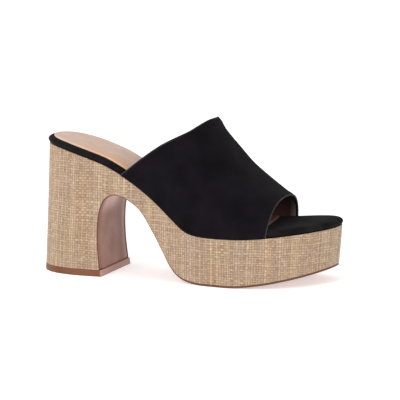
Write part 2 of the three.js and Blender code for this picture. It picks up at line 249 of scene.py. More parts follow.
LIFT_LEVELS = 5, 6  # rings of the lift's quarter rounds and faces

# Back and front end of the middle lines from which rings are drawn
BED_SPINE = 24.0, 196.0
SOCK_SPINE = 24.0, 158.0
LIFT_SPINE = 20.0, 35.0


def table(names, *rows):
    """Named columns out of rows of numbers."""
    return dict(zip(names.split(), np.array(rows, float).T))


def turn_of(along):
    """Turn round the outline, 0 at the heel back and pi at the toe tip: acos(1 - 2 share)."""
    return np.arccos(1 - 2 * np.clip(along, 0, 1))


# Footbed outline in shares of LENGTH and BALL_WIDTH
OUTLINE = table(
    "along outer inner",
    (0, 0, 0),
    (0.044, -0.233, 0.233),
    (0.132, -0.32, 0.32),
    (0.263, -0.316, 0.302),
    (0.395, -0.327, 0.28),
    (0.526, -0.386, 0.335),
    (0.658, -0.432, 0.472),
    (0.746, -0.42, 0.551),
    (0.833, -0.341, 0.585),
    (0.912, -0.188, 0.568),
    (0.965, -0.011, 0.506),
    (1, 0.307, 0.307),
)
OUTLINE["turn"] = turn_of(OUTLINE["along"])

# Platform's upper face: share of the climb from the ball to the heel seat
TOP_LINE = table(
    "along rise",
    (0, 1),
    (0.06, 0.971),
    (0.12, 0.922),
    (0.19, 0.848),
    (0.255, 0.76),
    (0.342, 0.586),
    (0.43, 0.362),
    (0.5, 0.154),
    (0.54, 0.049),
    (0.585, 0.008),
    (0.675, 0),
    (0.755, 0.011),
    (0.83, 0.034),
    (0.9, 0.061),
    (1, 0.097),
)

# Underside over the arch, in shares of the way from BREAST to TREAD_BACK and of ARCH_HEIGHT
ARCH = table(
    "reach rise",
    (-0.024, 0.36),
    (-0.028, 0.64),
    (-0.012, 0.82),
    (0.036, 0.95),
    (0.13, 1),
    (0.235, 0.958),
    (0.36, 0.845),
    (0.485, 0.615),
    (0.608, 0.355),
    (0.672, 0.21),
    (0.735, 0.112),
    (0.81, 0.048),
    (0.9, 0.014),
    (1, 0),
)

# Covered wall: place under the footbed and lean towards the floor
WALL = table(
    "along edge lean",
    (0, -0.4, 0.35),
    (0.045, 0.2, 1),
    (0.1, 0.6, 1.2),
    (0.24, 1, 0.9),
    (0.36, 1, 0.1),
    (0.6, 1, -0.75),
    (0.85, 1, -0.85),
    (1, 0.3, -1),
)

# Last over the platform
LAST = table(
    "along height ridge bulge",
    (0.29, 1.26, 0.58, 0.6),
    (0.4, 1.16, 0.61, 0.8),
    (0.5, 1.075, 0.635, 1),
    (0.572, 1, 0.635, 1),
    (0.6, 0.895, 0.63, 1),
    (0.643, 0.76, 0.62, 1),
    (0.7, 0.59, 0.59, 0.7),
    (0.774, 0.415, 0.54, 0),
    (0.823, 0.305, 0.51, -0.6),
    (0.87, 0.24, 0.5, -0.8),
)

# Soft creases of the suede, each from one place on the upper to another. Places are shares of
# the way from collar to toe opening and of the way round from the outer to the inner side.
# Width and depth are in millimetres, and a negative depth is a trough.
CREASES = table(
    "along round to_along to_round width depth",
    (0.04, 0.2, 0.5, 0.3, 7.0, -0.45),
    (0.1, 0.12, 0.5, 0.2, 6.0, 0.35),
    (0.55, 0.24, 0.93, 0.33, 6.0, -0.4),
    (0.62, 0.15, 0.9, 0.2, 5.0, 0.35),
    (0.1, 0.72, 0.55, 0.66, 8.0, -0.45),
    (0.5, 0.82, 0.85, 0.78, 6.0, 0.35),
    (0.78, 0.4, 0.86, 0.62, 5.0, -0.35),
)


def read(columns, key, value, at):
    """Smooth curve through a table's rows. Between two rows it is the cubic whose slope at
    each row is the secant of that row's neighbours, and at an end the parabola's slope."""
    k, v = columns[key], columns[value]
    slope = np.empty_like(v)
    slope[1:-1] = (v[2:] - v[:-2]) / (k[2:] - k[:-2])
    slope[0] = (3 * (v[1] - v[0]) / (k[1] - k[0]) - (v[2] - v[0]) / (k[2] - k[0])) / 2
    slope[-1] = (3 * (v[-1] - v[-2]) / (k[-1] - k[-2]) - (v[-1] - v[-3]) / (k[-1] - k[-3])) / 2
    place = np.clip(at, k[0], k[-1])
    i = np.clip(np.searchsorted(k, place, side="right") - 1, 0, len(k) - 2)
    width = k[i + 1] - k[i]
    t = (place - k[i]) / width
    rest = 1 - t
    ends = rest * rest * (1 + 2 * t) * v[i] + t * t * (1 + 2 * rest) * v[i + 1]
    return ends + t * rest * width * (rest * slope[i] - t * slope[i + 1])


def mix(a, b, share):
    """Straight mix: a at share 0, b at share 1."""
    return a + (b - a) * share


def smoothstep(value, low, high):
    """0 below low, 1 above high and 3t^2 - 2t^3 between them."""
    t = np.clip((value - low) / (high - low), 0, 1)
    return t * t * (3 - 2 * t)


def unit(vectors):
    """Vectors of the same direction and of length 1."""
    return vectors / np.linalg.norm(vectors, axis=-1, keepdims=True)


def way_along(line):
    """Length of a line up to each of its points."""
    return np.append(0, np.cumsum(np.linalg.norm(np.diff(line, axis=0), axis=1)))


def even_spacing(line, count):
    """The same line with count points the same distance apart."""
    run = way_along(line)
    at = np.linspace(0, run[-1], count)
    return np.stack([np.interp(at, run, column) for column in line.T], axis=-1)


def in_steps(line, step):
    """The same line with its points about a step apart."""
    return even_spacing(line, int(way_along(line)[-1] / step) + 1)


def round_edge(size, thickness, count):
    """Way in and height over an edge with a quarter round at either side: from 0 up to a
    quarter turn, size (1 - sin turn) and size (1 - cos turn), and the same turned round."""
    turn = np.linspace(0, np.pi / 2, count)
    drawn, rise = size * (1 - np.sin(turn)), size * (1 - np.cos(turn))
    return np.append(drawn, drawn[::-1]), np.append(rise, thickness - rise[::-1])


# The footbed and the covered wall


def outline(side, turn):
    """Footbed outline: x = L (1 - cos turn) / 2, y the table's smooth curve over the turn."""
    x = LENGTH * (1 - np.cos(turn)) / 2
    return x, BALL_WIDTH * read(OUTLINE, "turn", side, turn)


def outline_normal(side, turn):
    """Outward normal of the outline in plan: its tangent over a short step, a quarter turned."""
    ahead = outline(side, np.minimum(turn + NORMAL_STEP, np.pi))
    behind = outline(side, np.maximum(turn - NORMAL_STEP, 0))
    dx, dy = ahead[0] - behind[0], ahead[1] - behind[1]
    length = np.hypot(dx, dy)
    nx, ny = -dy / length * OUTWARDS[side], dx / length * OUTWARDS[side]
    at_end = (turn <= 0) | (turn >= np.pi)
    return np.where(at_end, np.sign(turn - 1), nx), np.where(at_end, 0, ny)


def edge_y(side, x):
    """The outline's y at x."""
    return outline(side, turn_of(x / LENGTH))[1]


def platform_top(x):
    """Height of the covered platform's upper face."""
    return mix(PLATFORM_HEIGHT, SEAT_HEIGHT, read(TOP_LINE, "along", "rise", x / LENGTH))


def footbed_base(x):
    """Height of the footbed's lower face."""
    return platform_top(x) + GAP


def footbed_top(x, y):
    """Height of the footbed's upper face: base and thickness, less a hollow under the heel
    of depth (1 - a^2)^2 (1 - c^2), a along and c across it."""
    outer, inner = edge_y("outer", x), edge_y("inner", x)
    half = np.maximum((inner - outer) / 2, GAP)
    across = np.clip((y - (outer + inner) / 2) / half, -1, 1)
    along = np.clip(2 * (x - CUP_CENTRE) / CUP_LENGTH, -1, 1)
    cup = CUP_DEPTH * (1 - along**2) ** 2 * (1 - across**2)
    return footbed_base(x) + FOOTBED_THICKNESS - cup


def wall_offset(x, z):
    """How far the covered wall stands outside the outline: its place under the footbed plus
    the lean times the depth below the upper face, as a share, to the power WALL_CURVE."""
    edge = PLATFORM_EDGE * read(WALL, "along", "edge", x / LENGTH)
    lean = read(WALL, "along", "lean", x / LENGTH)
    full = np.where(lean > 0, lean * HEEL_FLARE, lean * TOE_TAPER)
    down = np.clip(1 - z / platform_top(x), 0, 1)
    return edge + full * down**WALL_CURVE


def wall_point(side, turn, z, proud=0.0):
    """Point of the covered wall at height z: the outline moved along its plan normal by the
    wall's offset and by proud."""
    x, y = outline(side, turn)
    nx, ny = outline_normal(side, turn)
    offset = wall_offset(x, z) + proud
    return np.stack([x + nx * offset, y + ny * offset, z + 0 * x], axis=-1)


def turn_at(side, x, z, proud=0.0):
    """Turn at which the wall at height z passes over x, found by halving the turn's range."""
    low = np.zeros(np.shape(x))
    high = np.full(np.shape(x), np.pi)
    for _ in range(HALVINGS):
        middle = (low + high) / 2
        behind = wall_point(side, middle, z, proud)[..., 0] < x
        low = np.where(behind, middle, low)
        high = np.where(behind, high, middle)
    return (low + high) / 2


# The underside


def knot_spacing(a, b):
    """Square root of the distance between points."""
    return np.sqrt(np.linalg.norm(b - a, axis=-1, keepdims=True))


def arch_curve(steps):
    """Side view from the breast's foot over the arch to the tread: a centripetal Catmull-Rom
    curve through the arch's rows, each stretch a cubic between two of them."""
    reach = mix(BREAST, TREAD_BACK, ARCH["reach"])
    rows = np.stack([reach, ARCH_HEIGHT * ARCH["rise"]], axis=-1)
    knots = np.vstack([[BREAST, LIFT_THICKNESS + GAP], rows])
    padded = np.vstack([2 * knots[0] - knots[1], knots, 2 * knots[-1] - knots[-2]])
    a, b, c, d = padded[:-3, None], padded[1:-2, None], padded[2:-1, None], padded[3:, None]
    ab, bc, cd = knot_spacing(a, b), knot_spacing(b, c), knot_spacing(c, d)
    leave = bc * ((b - a) / ab - (c - a) / (ab + bc) + (c - b) / bc)
    arrive = bc * ((c - b) / bc - (d - b) / (bc + cd) + (d - c) / cd)
    t = np.linspace(0, 1, steps, endpoint=False)[None, :, None]
    rest = 1 - t
    ends = rest**2 * (1 + 2 * t) * b + t**2 * (1 + 2 * rest) * c
    points = ends + t * rest * (rest * leave - t * arrive)
    return np.vstack([points.reshape(-1, 2), knots[-1]])


def spring_height(x):
    """Height of the outsole's lower face ahead of the tread: the toe spring times the share
    of the way to the toe tip, to the power TOE_SPRING_CURVE."""
    return TOE_SPRING * ((x - TREAD_FRONT) / (LENGTH - TREAD_FRONT)) ** TOE_SPRING_CURVE


def ground_line():
    """Side view of the outsole's lower face: the arch, the flat tread and the toe spring,
    which runs on a tenth beyond the toe tip."""
    x = mix(TREAD_FRONT, LENGTH, np.linspace(0, 1.1, SPRING_POINTS))
    line = np.vstack([arch_curve(ARCH_STEPS), np.column_stack([x, spring_height(x)])])
    return in_steps(line, LINE_STEP)


def side_normals(line):
    """Normals of a side-view line, into the shoe: its tangents, a quarter turned."""
    tangent = unit(np.gradient(line, axis=0))
    return np.stack([-tangent[:, 1], tangent[:, 0]], axis=-1)


# The last under the upper


def climb_at(turn):
    """Height share on the last's section, a superellipse: |sin turn|^(2 / fullness)."""
    return np.abs(np.sin(turn)) ** (2 / SECTION_FULLNESS)


def last_point(along, turn):
    """Point on the last. turn runs from 0 at the outer edge over the ridge to pi at the inner
    edge, along from 0 at the collar to 1 at the toe opening. Across, a section is a
    superellipse from the ridge to the footbed's edge with a small bulge at half its height."""
    climb = climb_at(turn)
    back = mix(COLLAR_BASE, COLLAR_TOP, climb**COLLAR_SWEEP)
    x = mix(back, OPENING_BASE + OPENING_BOW * climb, along)
    outer, inner = edge_y("outer", x), edge_y("inner", x)
    ridge = mix(outer, inner, read(LAST, "along", "ridge", x / LENGTH))
    bulge = read(LAST, "along", "bulge", x / LENGTH) * (4 * climb * (1 - climb)) ** 2
    beyond = GAP + SIDE_BULGE * bulge
    edge = np.where(turn < np.pi / 2, outer - beyond, inner + beyond)
    spread = np.abs(np.cos(turn)) ** (2 / SECTION_FULLNESS)
    height = INSTEP_HEIGHT * read(LAST, "along", "height", x / LENGTH)
    return np.stack([x, mix(ridge, edge, spread), footbed_base(x) + height * climb], axis=-1)


def last_normal(along, turn):
    """Outward normal of the last: the cross product of short steps forward and round, laid
    level at the lower edge."""
    forward = last_point(along + NORMAL_STEP, turn) - last_point(along - NORMAL_STEP, turn)
    after = last_point(along, np.minimum(turn + NORMAL_STEP, np.pi))
    round_step = after - last_point(along, np.maximum(turn - NORMAL_STEP, 0))
    normal = np.cross(forward, round_step)
    normal[..., 2] *= climb_at(turn) >= FOOT_CLIMB
    return unit(normal)


def creasing(points):
    """Height of the soft creases at points of the upper: each is a bell across its own
    straight line through the upper, exp(-(d / width)^2) deep, and fades out at both ends."""
    total = np.zeros(points.shape[:-1])
    starts = last_point(CREASES["along"], np.pi * CREASES["round"])
    ends = last_point(CREASES["to_along"], np.pi * CREASES["to_round"])
    for start, end, width, depth in zip(starts, ends, CREASES["width"], CREASES["depth"]):
        way = end - start
        share = (points - start) @ way / (way @ way)
        foot = start + np.clip(share, 0, 1)[..., None] * way
        foot_distance = np.linalg.norm(points - foot, axis=-1)
        middle = smoothstep(share, *CREASE_START) * (1 - smoothstep(share, *CREASE_END))
        total += depth * middle * np.exp(-((foot_distance / width) ** 2))
    return total


def upper_skin(path, turn):
    """Points of the upper along a path from the collar to the toe opening. Each place of the
    path is a share of the way, millimetres added to it, and a depth outwards from the last as
    a share of the wall, to which the creases are added."""
    columns = last_point(np.linspace(0, 1, WAY_STEPS)[:, None], turn)
    length = np.linalg.norm(np.diff(columns, axis=0), axis=-1).sum(axis=0)
    share, added, depth = path.T[..., None]
    along = share + added / length
    turns = np.broadcast_to(turn, along.shape)
    climb = climb_at(turns)
    wall = UPPER_WALL * mix(SKIVED_SHARE, 1, smoothstep(climb, 0, SKIVED_CLIMB))
    points = last_point(along, turns)
    out = depth * wall + creasing(points) * smoothstep(climb, *CREASED_CLIMB)
    points = points + last_normal(along, turns) * out[..., None]
    foot = climb < FOOT_CLIMB
    points[..., 2] = np.where(foot, footbed_base(points[..., 0]), points[..., 2])
    return points


# Meshes


def grid_faces(rows, columns):
    """Quads over a grid of points, as an array of four corner numbers each."""
    start = (np.arange(rows - 1)[:, None] * columns + np.arange(columns - 1)).reshape(-1, 1)
    return start + np.array([0, columns, columns + 1, 1])


def build_mesh(name, points, faces, uv=None, marks=None, outwards=True):
    """Object made of points in millimetres and an array of quads. Points that fall together
    are welded, a quad with two corners on one point becomes a triangle, and the faces of a
    closed piece are turned outwards. uv and marks give a value to each point."""
    used, faces = np.unique(faces, return_inverse=True)
    faces = faces.reshape(-1, 4)
    points = points[used]
    places = np.floor(points / WELD + WELD_SHIFT).astype(np.int64)
    _, first, welded = np.unique(places, axis=0, return_index=True, return_inverse=True)
    corners = welded.reshape(-1)[faces]
    kept = corners != np.roll(corners, -1, axis=1)
    kept &= (kept.sum(axis=1) > 2)[:, None]
    sizes = kept.sum(axis=1)
    sizes = sizes[sizes > 0]
    mesh = bpy.data.meshes.new(name)
    mesh.vertices.add(len(first))
    placed = (points[first] - (HEEL_CENTRE, 0, 0)) * MILLIMETRE
    mesh.vertices.foreach_set("co", placed.astype(np.float32).ravel())
    mesh.loops.add(int(sizes.sum()))
    mesh.loops.foreach_set("vertex_index", corners[kept].astype(np.int32))
    mesh.polygons.add(len(sizes))
    starts = np.append(0, np.cumsum(sizes)[:-1])
    mesh.polygons.foreach_set("loop_start", starts.astype(np.int32))
    mesh.update(calc_edges=True)
    mesh.shade_smooth()
    if uv is not None:
        layer = mesh.uv_layers.new(name="Place")
        layer.data.foreach_set("uv", uv[used][faces][kept].astype(np.float32).ravel())
    for mark, values in (marks or {}).items():
        attribute = mesh.attributes.new(mark, "FLOAT", "POINT")
        attribute.data.foreach_set("value", values[used][first].astype(np.float32))
    if outwards:
        shape = bmesh.new()
        shape.from_mesh(mesh)
        bmesh.ops.recalc_face_normals(shape, faces=shape.faces)
        shape.to_mesh(mesh)
        shape.free()
    mesh.validate()
    piece = bpy.data.objects.new(name, mesh)
    bpy.context.scene.collection.objects.link(piece)
    return piece


def build_closed(name, grids, marks=None):
    """Closed piece out of grids of points that share their borders. marks holds a list of
    grids of values for each mark."""
    faces, start = [], 0
    for grid in grids:
        faces.append(grid_faces(*grid.shape[:2]) + start)
        start += grid.shape[0] * grid.shape[1]
    points = np.concatenate([grid.reshape(-1, 3) for grid in grids])
    flat = {k: np.concatenate([v.ravel() for v in values]) for k, values in (marks or {}).items()}
    return build_mesh(name, points, np.concatenate(faces), marks=flat)


def closed_round(rings):
    """Rings, one to a row, each with its first place repeated at its end."""
    return np.concatenate([rings, rings[:, :1]], axis=1)


def ring_piece(name, rings, marks=None):
    """Closed piece out of rings of points from the middle of one face over the edge to the
    middle of the other, each ring closed on itself. marks give a value to each point."""
    closed = {mark: [closed_round(values)] for mark, values in (marks or {}).items()}
    return build_closed(name, [closed_round(rings)], closed)


# The woven cover


def yarn_borders(length, seed):
    """Borders of the yarns over a length: an even number of yarns whose widths stray by a
    seeded share and are scaled to fill the length."""
    count = 2 * round(length / YARN_PITCH / 2)
    chance = np.random.default_rng(seed)
    widths = 1 + YARN_UNEVEN * chance.uniform(-1, 1, count)
    return np.append(0, np.cumsum(widths)) * length / widths.sum()


def yarn_cells(length, seed):
    """Grid lines over a length, YARN_CELLS to a yarn: each line's place in millimetres and in
    yarns, where a whole number is the middle of a yarn."""
    borders = yarn_borders(length, seed)
    yarns = np.arange(len(borders))
    lines = np.arange((len(borders) - 1) * YARN_CELLS + 1) / YARN_CELLS
    return np.interp(lines, yarns, borders), lines - 0.5


def slubs(yarn, along, seed):
    """Thick and thin places of the yarns: a product of two sines along each yarn, with a
    seeded start for every yarn."""
    number = np.round(yarn).astype(int)
    starts = np.random.default_rng(seed).uniform(0, 2 * np.pi, (2, MOST_YARNS))[:, number]
    slow, quick = (np.sin(along / wave + start) for wave, start in zip(SLUB_LENGTHS, starts))
    return 1 + YARN_SLUB * slow * quick


def yarn_back(place):
    """Flat round back of the yarns over a place counted in yarns: sqrt(1 - (k off)^4), off
    being the way from the nearest yarn's middle and k YARN_BACK."""
    return np.sqrt(np.clip(1 - (YARN_BACK * (place - np.round(place))) ** 4, 0.02, 1))


def weave_height(warp, weft):
    """Relief of a plain weave. crimp, a levelled cos(pi warp) cos(pi weft), lifts the warp
    where it is above 0 and the weft where it is below, a yarn's back is a flat round, the
    weft lies WEFT_SUNK lower, and the higher yarn shows."""
    crimp = np.tanh(CRIMP_STEEPNESS * np.cos(np.pi * warp) * np.cos(np.pi * weft))
    warp_back = YARN_RADIUS * yarn_back(warp) * slubs(warp, weft, SLUB_SEEDS[0])
    weft_back = YARN_RADIUS * yarn_back(weft) * slubs(weft, warp, SLUB_SEEDS[1])
    return np.maximum(YARN_CRIMP * crimp + warp_back, weft_back - YARN_CRIMP * crimp - WEFT_SUNK)


def covered(x, z):
    """True where the covered wall stands: under the footbed, over lift and sole, and not in
    the arch."""
    line = cover_foot_line()
    crown = line[:, 1].argmax()
    breast, front = line[: crown + 1], line[crown:]
    above_sole = z > np.interp(x, front[:, 0], front[:, 1])
    behind_breast = x < np.interp(z, breast[:, 1], breast[:, 0])
    above_lift = (z > COVER_FOOT) & (behind_breast | (z > line[crown, 1]))
    below_footbed = z < platform_top(x) + COVER_LAP
    return below_footbed & np.where(x > line[crown, 0], above_sole, above_lift)


def cover_foot_line():
    """Side view of the cover's lower edge: over the sole's upper face at the tread and toe,
    and in the arch and down the breast lapped over the sheet's edge but for ARCH_EDGE."""
    line = ground_line()
    shown = mix(ARCH_EDGE, SOLE_THICKNESS + GAP - COVER_LAP, at_tread(line[:, 0]))
    return line + side_normals(line) * shown[:, None]


def at_tread(x):
    """0 in the arch and down the breast, 1 from the tread forward."""
    return smoothstep(x, TREAD_BACK - TREAD_FADE[0], TREAD_BACK - TREAD_FADE[1])


def outline_run():
    """Dense turns and, for each side, the way along the outline from the heel back to them."""
    turn = np.linspace(0, np.pi, RUN_TURNS)
    run = {}
    for side in OUTWARDS:
        x, y = outline(side, turn)
        run[side] = np.append(0, np.cumsum(np.hypot(np.diff(x), np.diff(y))))
    return turn, run


def cover_wall(place, z):
    """Points of the covered wall and their plan normals. place runs round the outline in
    millimetres, 0 at the toe tip, back along the outer side and forward along the inner."""
    turns, run = outline_run()
    heel = run["outer"][-1]
    place = np.mod(place, heel + run["inner"][-1])
    points, normals = np.zeros((2,) + place.shape + (3,))
    for side in OUTWARDS:
        here = place <= heel if side == "outer" else place > heel
        turn = np.interp(np.abs(place[here] - heel), run[side], turns)
        points[here] = wall_point(side, turn, z[here])
        normals[here, 0], normals[here, 1] = outline_normal(side, turn)
    return points, normals


def cover_borders():
    """Upper and lower border of the cover as lines of place and height, repeated one round
    before and after so that both ends of the cloth find the same border."""
    turns, run = outline_run()
    heel, total = run["outer"][-1], run["outer"][-1] + run["inner"][-1]
    line = cover_foot_line()
    x = np.linspace(-HEEL_FLARE, line[0, 0], HEEL_POINTS)
    foot = np.column_stack([x, np.full(HEEL_POINTS, COVER_FOOT)])
    lower = in_steps(np.vstack([foot, line]), BORDER_STEP)
    upper_turn = np.linspace(0, np.pi, BORDER_TURNS)
    lines = []
    for side, outwards in OUTWARDS.items():
        lower_turn = turn_at(side, lower[:, 0], lower[:, 1])
        top = platform_top(outline(side, upper_turn)[0])
        x = wall_point(side, upper_turn, top)[:, 0]
        for turn, z in ((lower_turn, lower[:, 1]), (upper_turn, platform_top(x) + COVER_LAP)):
            place = heel + outwards * np.interp(turn, turns, run[side])
            lines.append(np.stack([place, z], axis=-1))
    return [line + (shift, 0) for line in lines for shift in (-total, 0, total)]


def nearest_on(lines, points):
    """Nearest places on lines: each point is dropped square on every stretch of every line,
    and the closest foot is kept."""
    starts = np.vstack([line[:-1] for line in lines])
    ways = np.vstack([line[1:] for line in lines]) - starts
    reach = np.maximum((ways**2).sum(axis=1), 1e-12)
    found = []
    for some in np.array_split(points, LOTS):
        share = ((some[:, None] - starts) * ways).sum(axis=-1) / reach
        feet = starts + np.clip(share, 0, 1)[..., None] * ways
        pick = ((some[:, None] - feet) ** 2).sum(axis=-1).argmin(axis=1)
        found.append(feet[np.arange(len(some)), pick])
    return np.vstack(found)


def border_hem(faces, points, inwards, seam):
    """Faces and points of a hem: every border edge of the faces is carried inwards, except
    where both its ends lie on the seam with the other half."""
    edges = np.stack([faces, np.roll(faces, -1, axis=1)], axis=-1).reshape(-1, 2)
    _, back, count = np.unique(
        np.sort(edges, axis=1), axis=0, return_inverse=True, return_counts=True
    )
    border = edges[count[back.reshape(-1)] == 1]
    border = border[~(seam[border[:, 0]] & seam[border[:, 1]])]
    corners = np.unique(border)
    turned = np.full(len(points), -1)
    turned[corners] = len(points) + np.arange(len(corners))
    first, second = border[:, 1], border[:, 0]
    hem = np.stack([first, second, turned[second], turned[first]], axis=1)
    return hem, corners, points[corners] + inwards[corners] * COVER_HEM


def wandering(place, z, total):
    """Places and heights after the yarns' sideways drift: the warp's is two sines up the
    wall, bent by sines round the shoe, the weft's two sines round the shoe that lean up the
    wall."""
    around = 2 * np.pi * place / total
    drift = sum(np.sin(z / up + bend * np.sin(waves * around)) for up, bend, waves in WARP_DRIFT)
    climb = sum(np.sin(waves * around + z / up + start) for waves, up, start in WEFT_DRIFT)
    return place + YARN_WANDER * drift / 2, z + YARN_WANDER * climb / 2


def cover_pieces():
    """Woven cloth over heel and platform in two halves that meet at the heel back and the toe
    tip. Its grid follows the yarns, cells outside the wall are dropped, and border points are
    drawn onto the wall's border."""
    run = outline_run()[1]
    heel, total = run["outer"][-1], run["outer"][-1] + run["inner"][-1]
    places, warp = yarn_cells(total, WIDTH_SEEDS[0])
    heights, weft = yarn_cells(SEAT_HEIGHT + YARN_PITCH, WIDTH_SEEDS[1])
    place, z = wandering(*np.meshgrid(places, heights, indexing="ij"), total)
    warp, weft = np.meshgrid(warp, weft, indexing="ij")
    inside = covered(cover_wall(place, z)[0][..., 0], z)
    columns, rows = place.shape
    cells = grid_faces(columns, rows)[:, ::-1]
    cells = cells[inside.reshape(-1)[cells].any(axis=1)]
    flat = np.stack([place.ravel(), z.ravel()], axis=-1)
    stray = np.setdiff1d(cells, np.flatnonzero(inside))
    flat[stray] = nearest_on(cover_borders(), flat[stray])
    points, normals = cover_wall(flat[:, 0], flat[:, 1])
    relief = COVER_SEAT + weave_height(warp, weft).ravel()
    points += normals * relief[:, None]
    yarns = np.stack([warp.ravel(), weft.ravel()], axis=-1)
    column = np.arange(len(flat)) // rows
    middle = np.abs(places - heel).argmin()
    seam = (column == 0) | (column == columns - 1) | (column == middle)
    pieces = []
    for name, half in (("outer", column <= middle), ("inner", column >= middle)):
        faces = cells[half[cells].all(axis=1)]
        hem, corners, turned = border_hem(faces, points, -normals, seam)
        pieces.append(
            build_mesh(
                "woven_cover_" + name,
                np.vstack([points, turned]),
                np.vstack([faces, hem]),
                uv=np.vstack([yarns, yarns[corners]]),
                outwards=False,
            )
        )
    return pieces


# The other pieces


def level_ring(proud, z, reach):
    """Closed outline of the covered wall at height z, proud of it and cut straight across at
    reach: the outer side from the heel back forward, the cut, and the inner side back."""
    sides = []
    for side in OUTWARDS:
        end = turn_at(side, np.array([reach]), np.array([z]), proud)[0]
        sides.append(wall_point(side, np.linspace(0, end, SIDE_POINTS), z, proud)[:, :2])
    return np.vstack([sides[0], sides[1][::-1]])


def soften(ring, count, rounds):
    """A closed line with evenly spaced points whose corners are rounded, each point moved
    rounds times half the way to the middle of its neighbours."""
    even = even_spacing(np.vstack([ring, ring[:1]]), count + 1)[:-1]
    for _ in range(rounds):
        neighbours = (np.roll(even, 1, axis=0) + np.roll(even, -1, axis=0)) / 2
        even = (even + neighbours) / 2
    return even


def spine_of(ring, back, front):
    """Middle line under a ring that starts at the heel back. A point and its partner, the one
    as far from the start the other way round, share one place on it, so that the line closes:
    x halfway between theirs and held between back and front, y midway on the footbed."""
    partner = np.roll(ring[::-1], 1, axis=0)
    x = np.clip((ring[:, 0] + partner[:, 0]) / 2, back, front)
    return np.stack([x, (edge_y("outer", x) + edge_y("inner", x)) / 2], axis=-1)


def lift_middle(ring):
    """The lift's middle line at a ring's height."""
    return np.column_stack([spine_of(ring, *LIFT_SPINE), ring[:, 2]])


def lift_piece():
    """Heel lift: rings of the wall's outline from the floor up, drawn in by a quarter round at
    both edges, with a front face that stands proud of the breast."""
    rings, front = [], []
    for drawn, z in zip(*round_edge(LIFT_ROUND, LIFT_THICKNESS, LIFT_LEVELS[0])):
        reach = BREAST + mix(LIFT_REACH, LIFT_TOP_REACH, z / LIFT_THICKNESS)
        ring = soften(level_ring(LIFT_PROUD, z, reach), LIFT_POINTS, LIFT_SOFTENED)
        ring = ring - unit(ring - spine_of(ring, *LIFT_SPINE)) * drawn
        rings.append(np.column_stack([ring, np.full(LIFT_POINTS, z)]))
        # painted light: the front face turns paler
        front.append(smoothstep(ring[:, 0], reach - LIFT_LIT_FRONT[0], reach - LIFT_LIT_FRONT[1]))
    shares = np.linspace(0, 1, LIFT_LEVELS[1])[:-1, None, None]
    below = mix(lift_middle(rings[0]), rings[0], shares)
    above = mix(lift_middle(rings[-1]), rings[-1], shares)[::-1]
    bare = np.zeros((len(shares), LIFT_POINTS))
    front = np.concatenate([bare, front, bare])
    return ring_piece("heel_lift_block", np.concatenate([below, rings, above]), {"edge": front})


def sheet_line():
    """Side view of the sheet's lower face up to the wall's end at the toe tip, which is found
    step by step, with rows that crowd together towards it."""
    tip = LENGTH
    for _ in range(TIP_ROUNDS):
        tip = wall_point("inner", np.array([np.pi]), spring_height(tip), SOLE_EDGE)[0, 0]
    line = ground_line()
    line = line[line[:, 0] < tip - 1]
    near_tip = tip - np.linspace(np.sqrt(tip - line[-1, 0]), 0, TIP_STEPS)[1:] ** 2
    return np.vstack([line, np.column_stack([near_tip, spring_height(near_tip)])])


def sheet_section():
    """Cross section of the sheet, once round: share of the half width, way in from the edge,
    depth behind the outer face, and 1 on the outer face and on the rounded edges."""
    side_in, side_deep = round_edge(SOLE_ROUND, SOLE_THICKNESS, SHEET_ROUND)
    across = np.sin(np.linspace(-np.pi / 2, np.pi / 2, SHEET_STEPS))[1:-1]
    face, side = np.ones(len(across)), np.ones(len(side_in))
    share = np.concatenate([across, side, across[::-1], -side])
    inset = np.concatenate([face * SOLE_ROUND, side_in, face * SOLE_ROUND, side_in[::-1]])
    deep = np.concatenate([0 * face, side_deep, face * SOLE_THICKNESS, side_deep[::-1]])
    outer_face = np.concatenate([face, 0 * side, 0 * face, 0 * side])
    rounded = np.concatenate([0 * face, side, 0 * face, side])
    return share, inset, deep, outer_face, rounded


def sheet_painted_light(line, share, from_edge):
    """Painted light on the outer face in the arch: painted shade in a crease beside the breast's
    inner edge, a bell exp(-(d / width)^2), and a painted highlight along that edge and on the
    arch's crown."""
    shown = 1 - at_tread(line[:, :1] + BREAST_SHIFT[1])
    inner_side = share > 0
    from_crease = (from_edge - BREAST_CREASE_SHADE[0]) / BREAST_CREASE_SHADE[1]
    crease = BREAST_CREASE_SHADE_SHARE * np.exp(-(from_crease**2))
    strip = HIGHLIGHT_STRIP_SHARE * (1 - smoothstep(from_edge, *HIGHLIGHT_STRIP_WIDTH)) * inner_side
    crown = smoothstep(line[:, 1:], *CROWN_HIGHLIGHT_HEIGHT) * smoothstep(from_edge, *CROWN_HIGHLIGHT_EDGE)
    crown = CROWN_HIGHLIGHT_SHARE * crown * (1 - smoothstep(share, *CROWN_HIGHLIGHT_SIDE))
    return np.stack([crease * inner_side, np.maximum(strip, crown)]) * shown


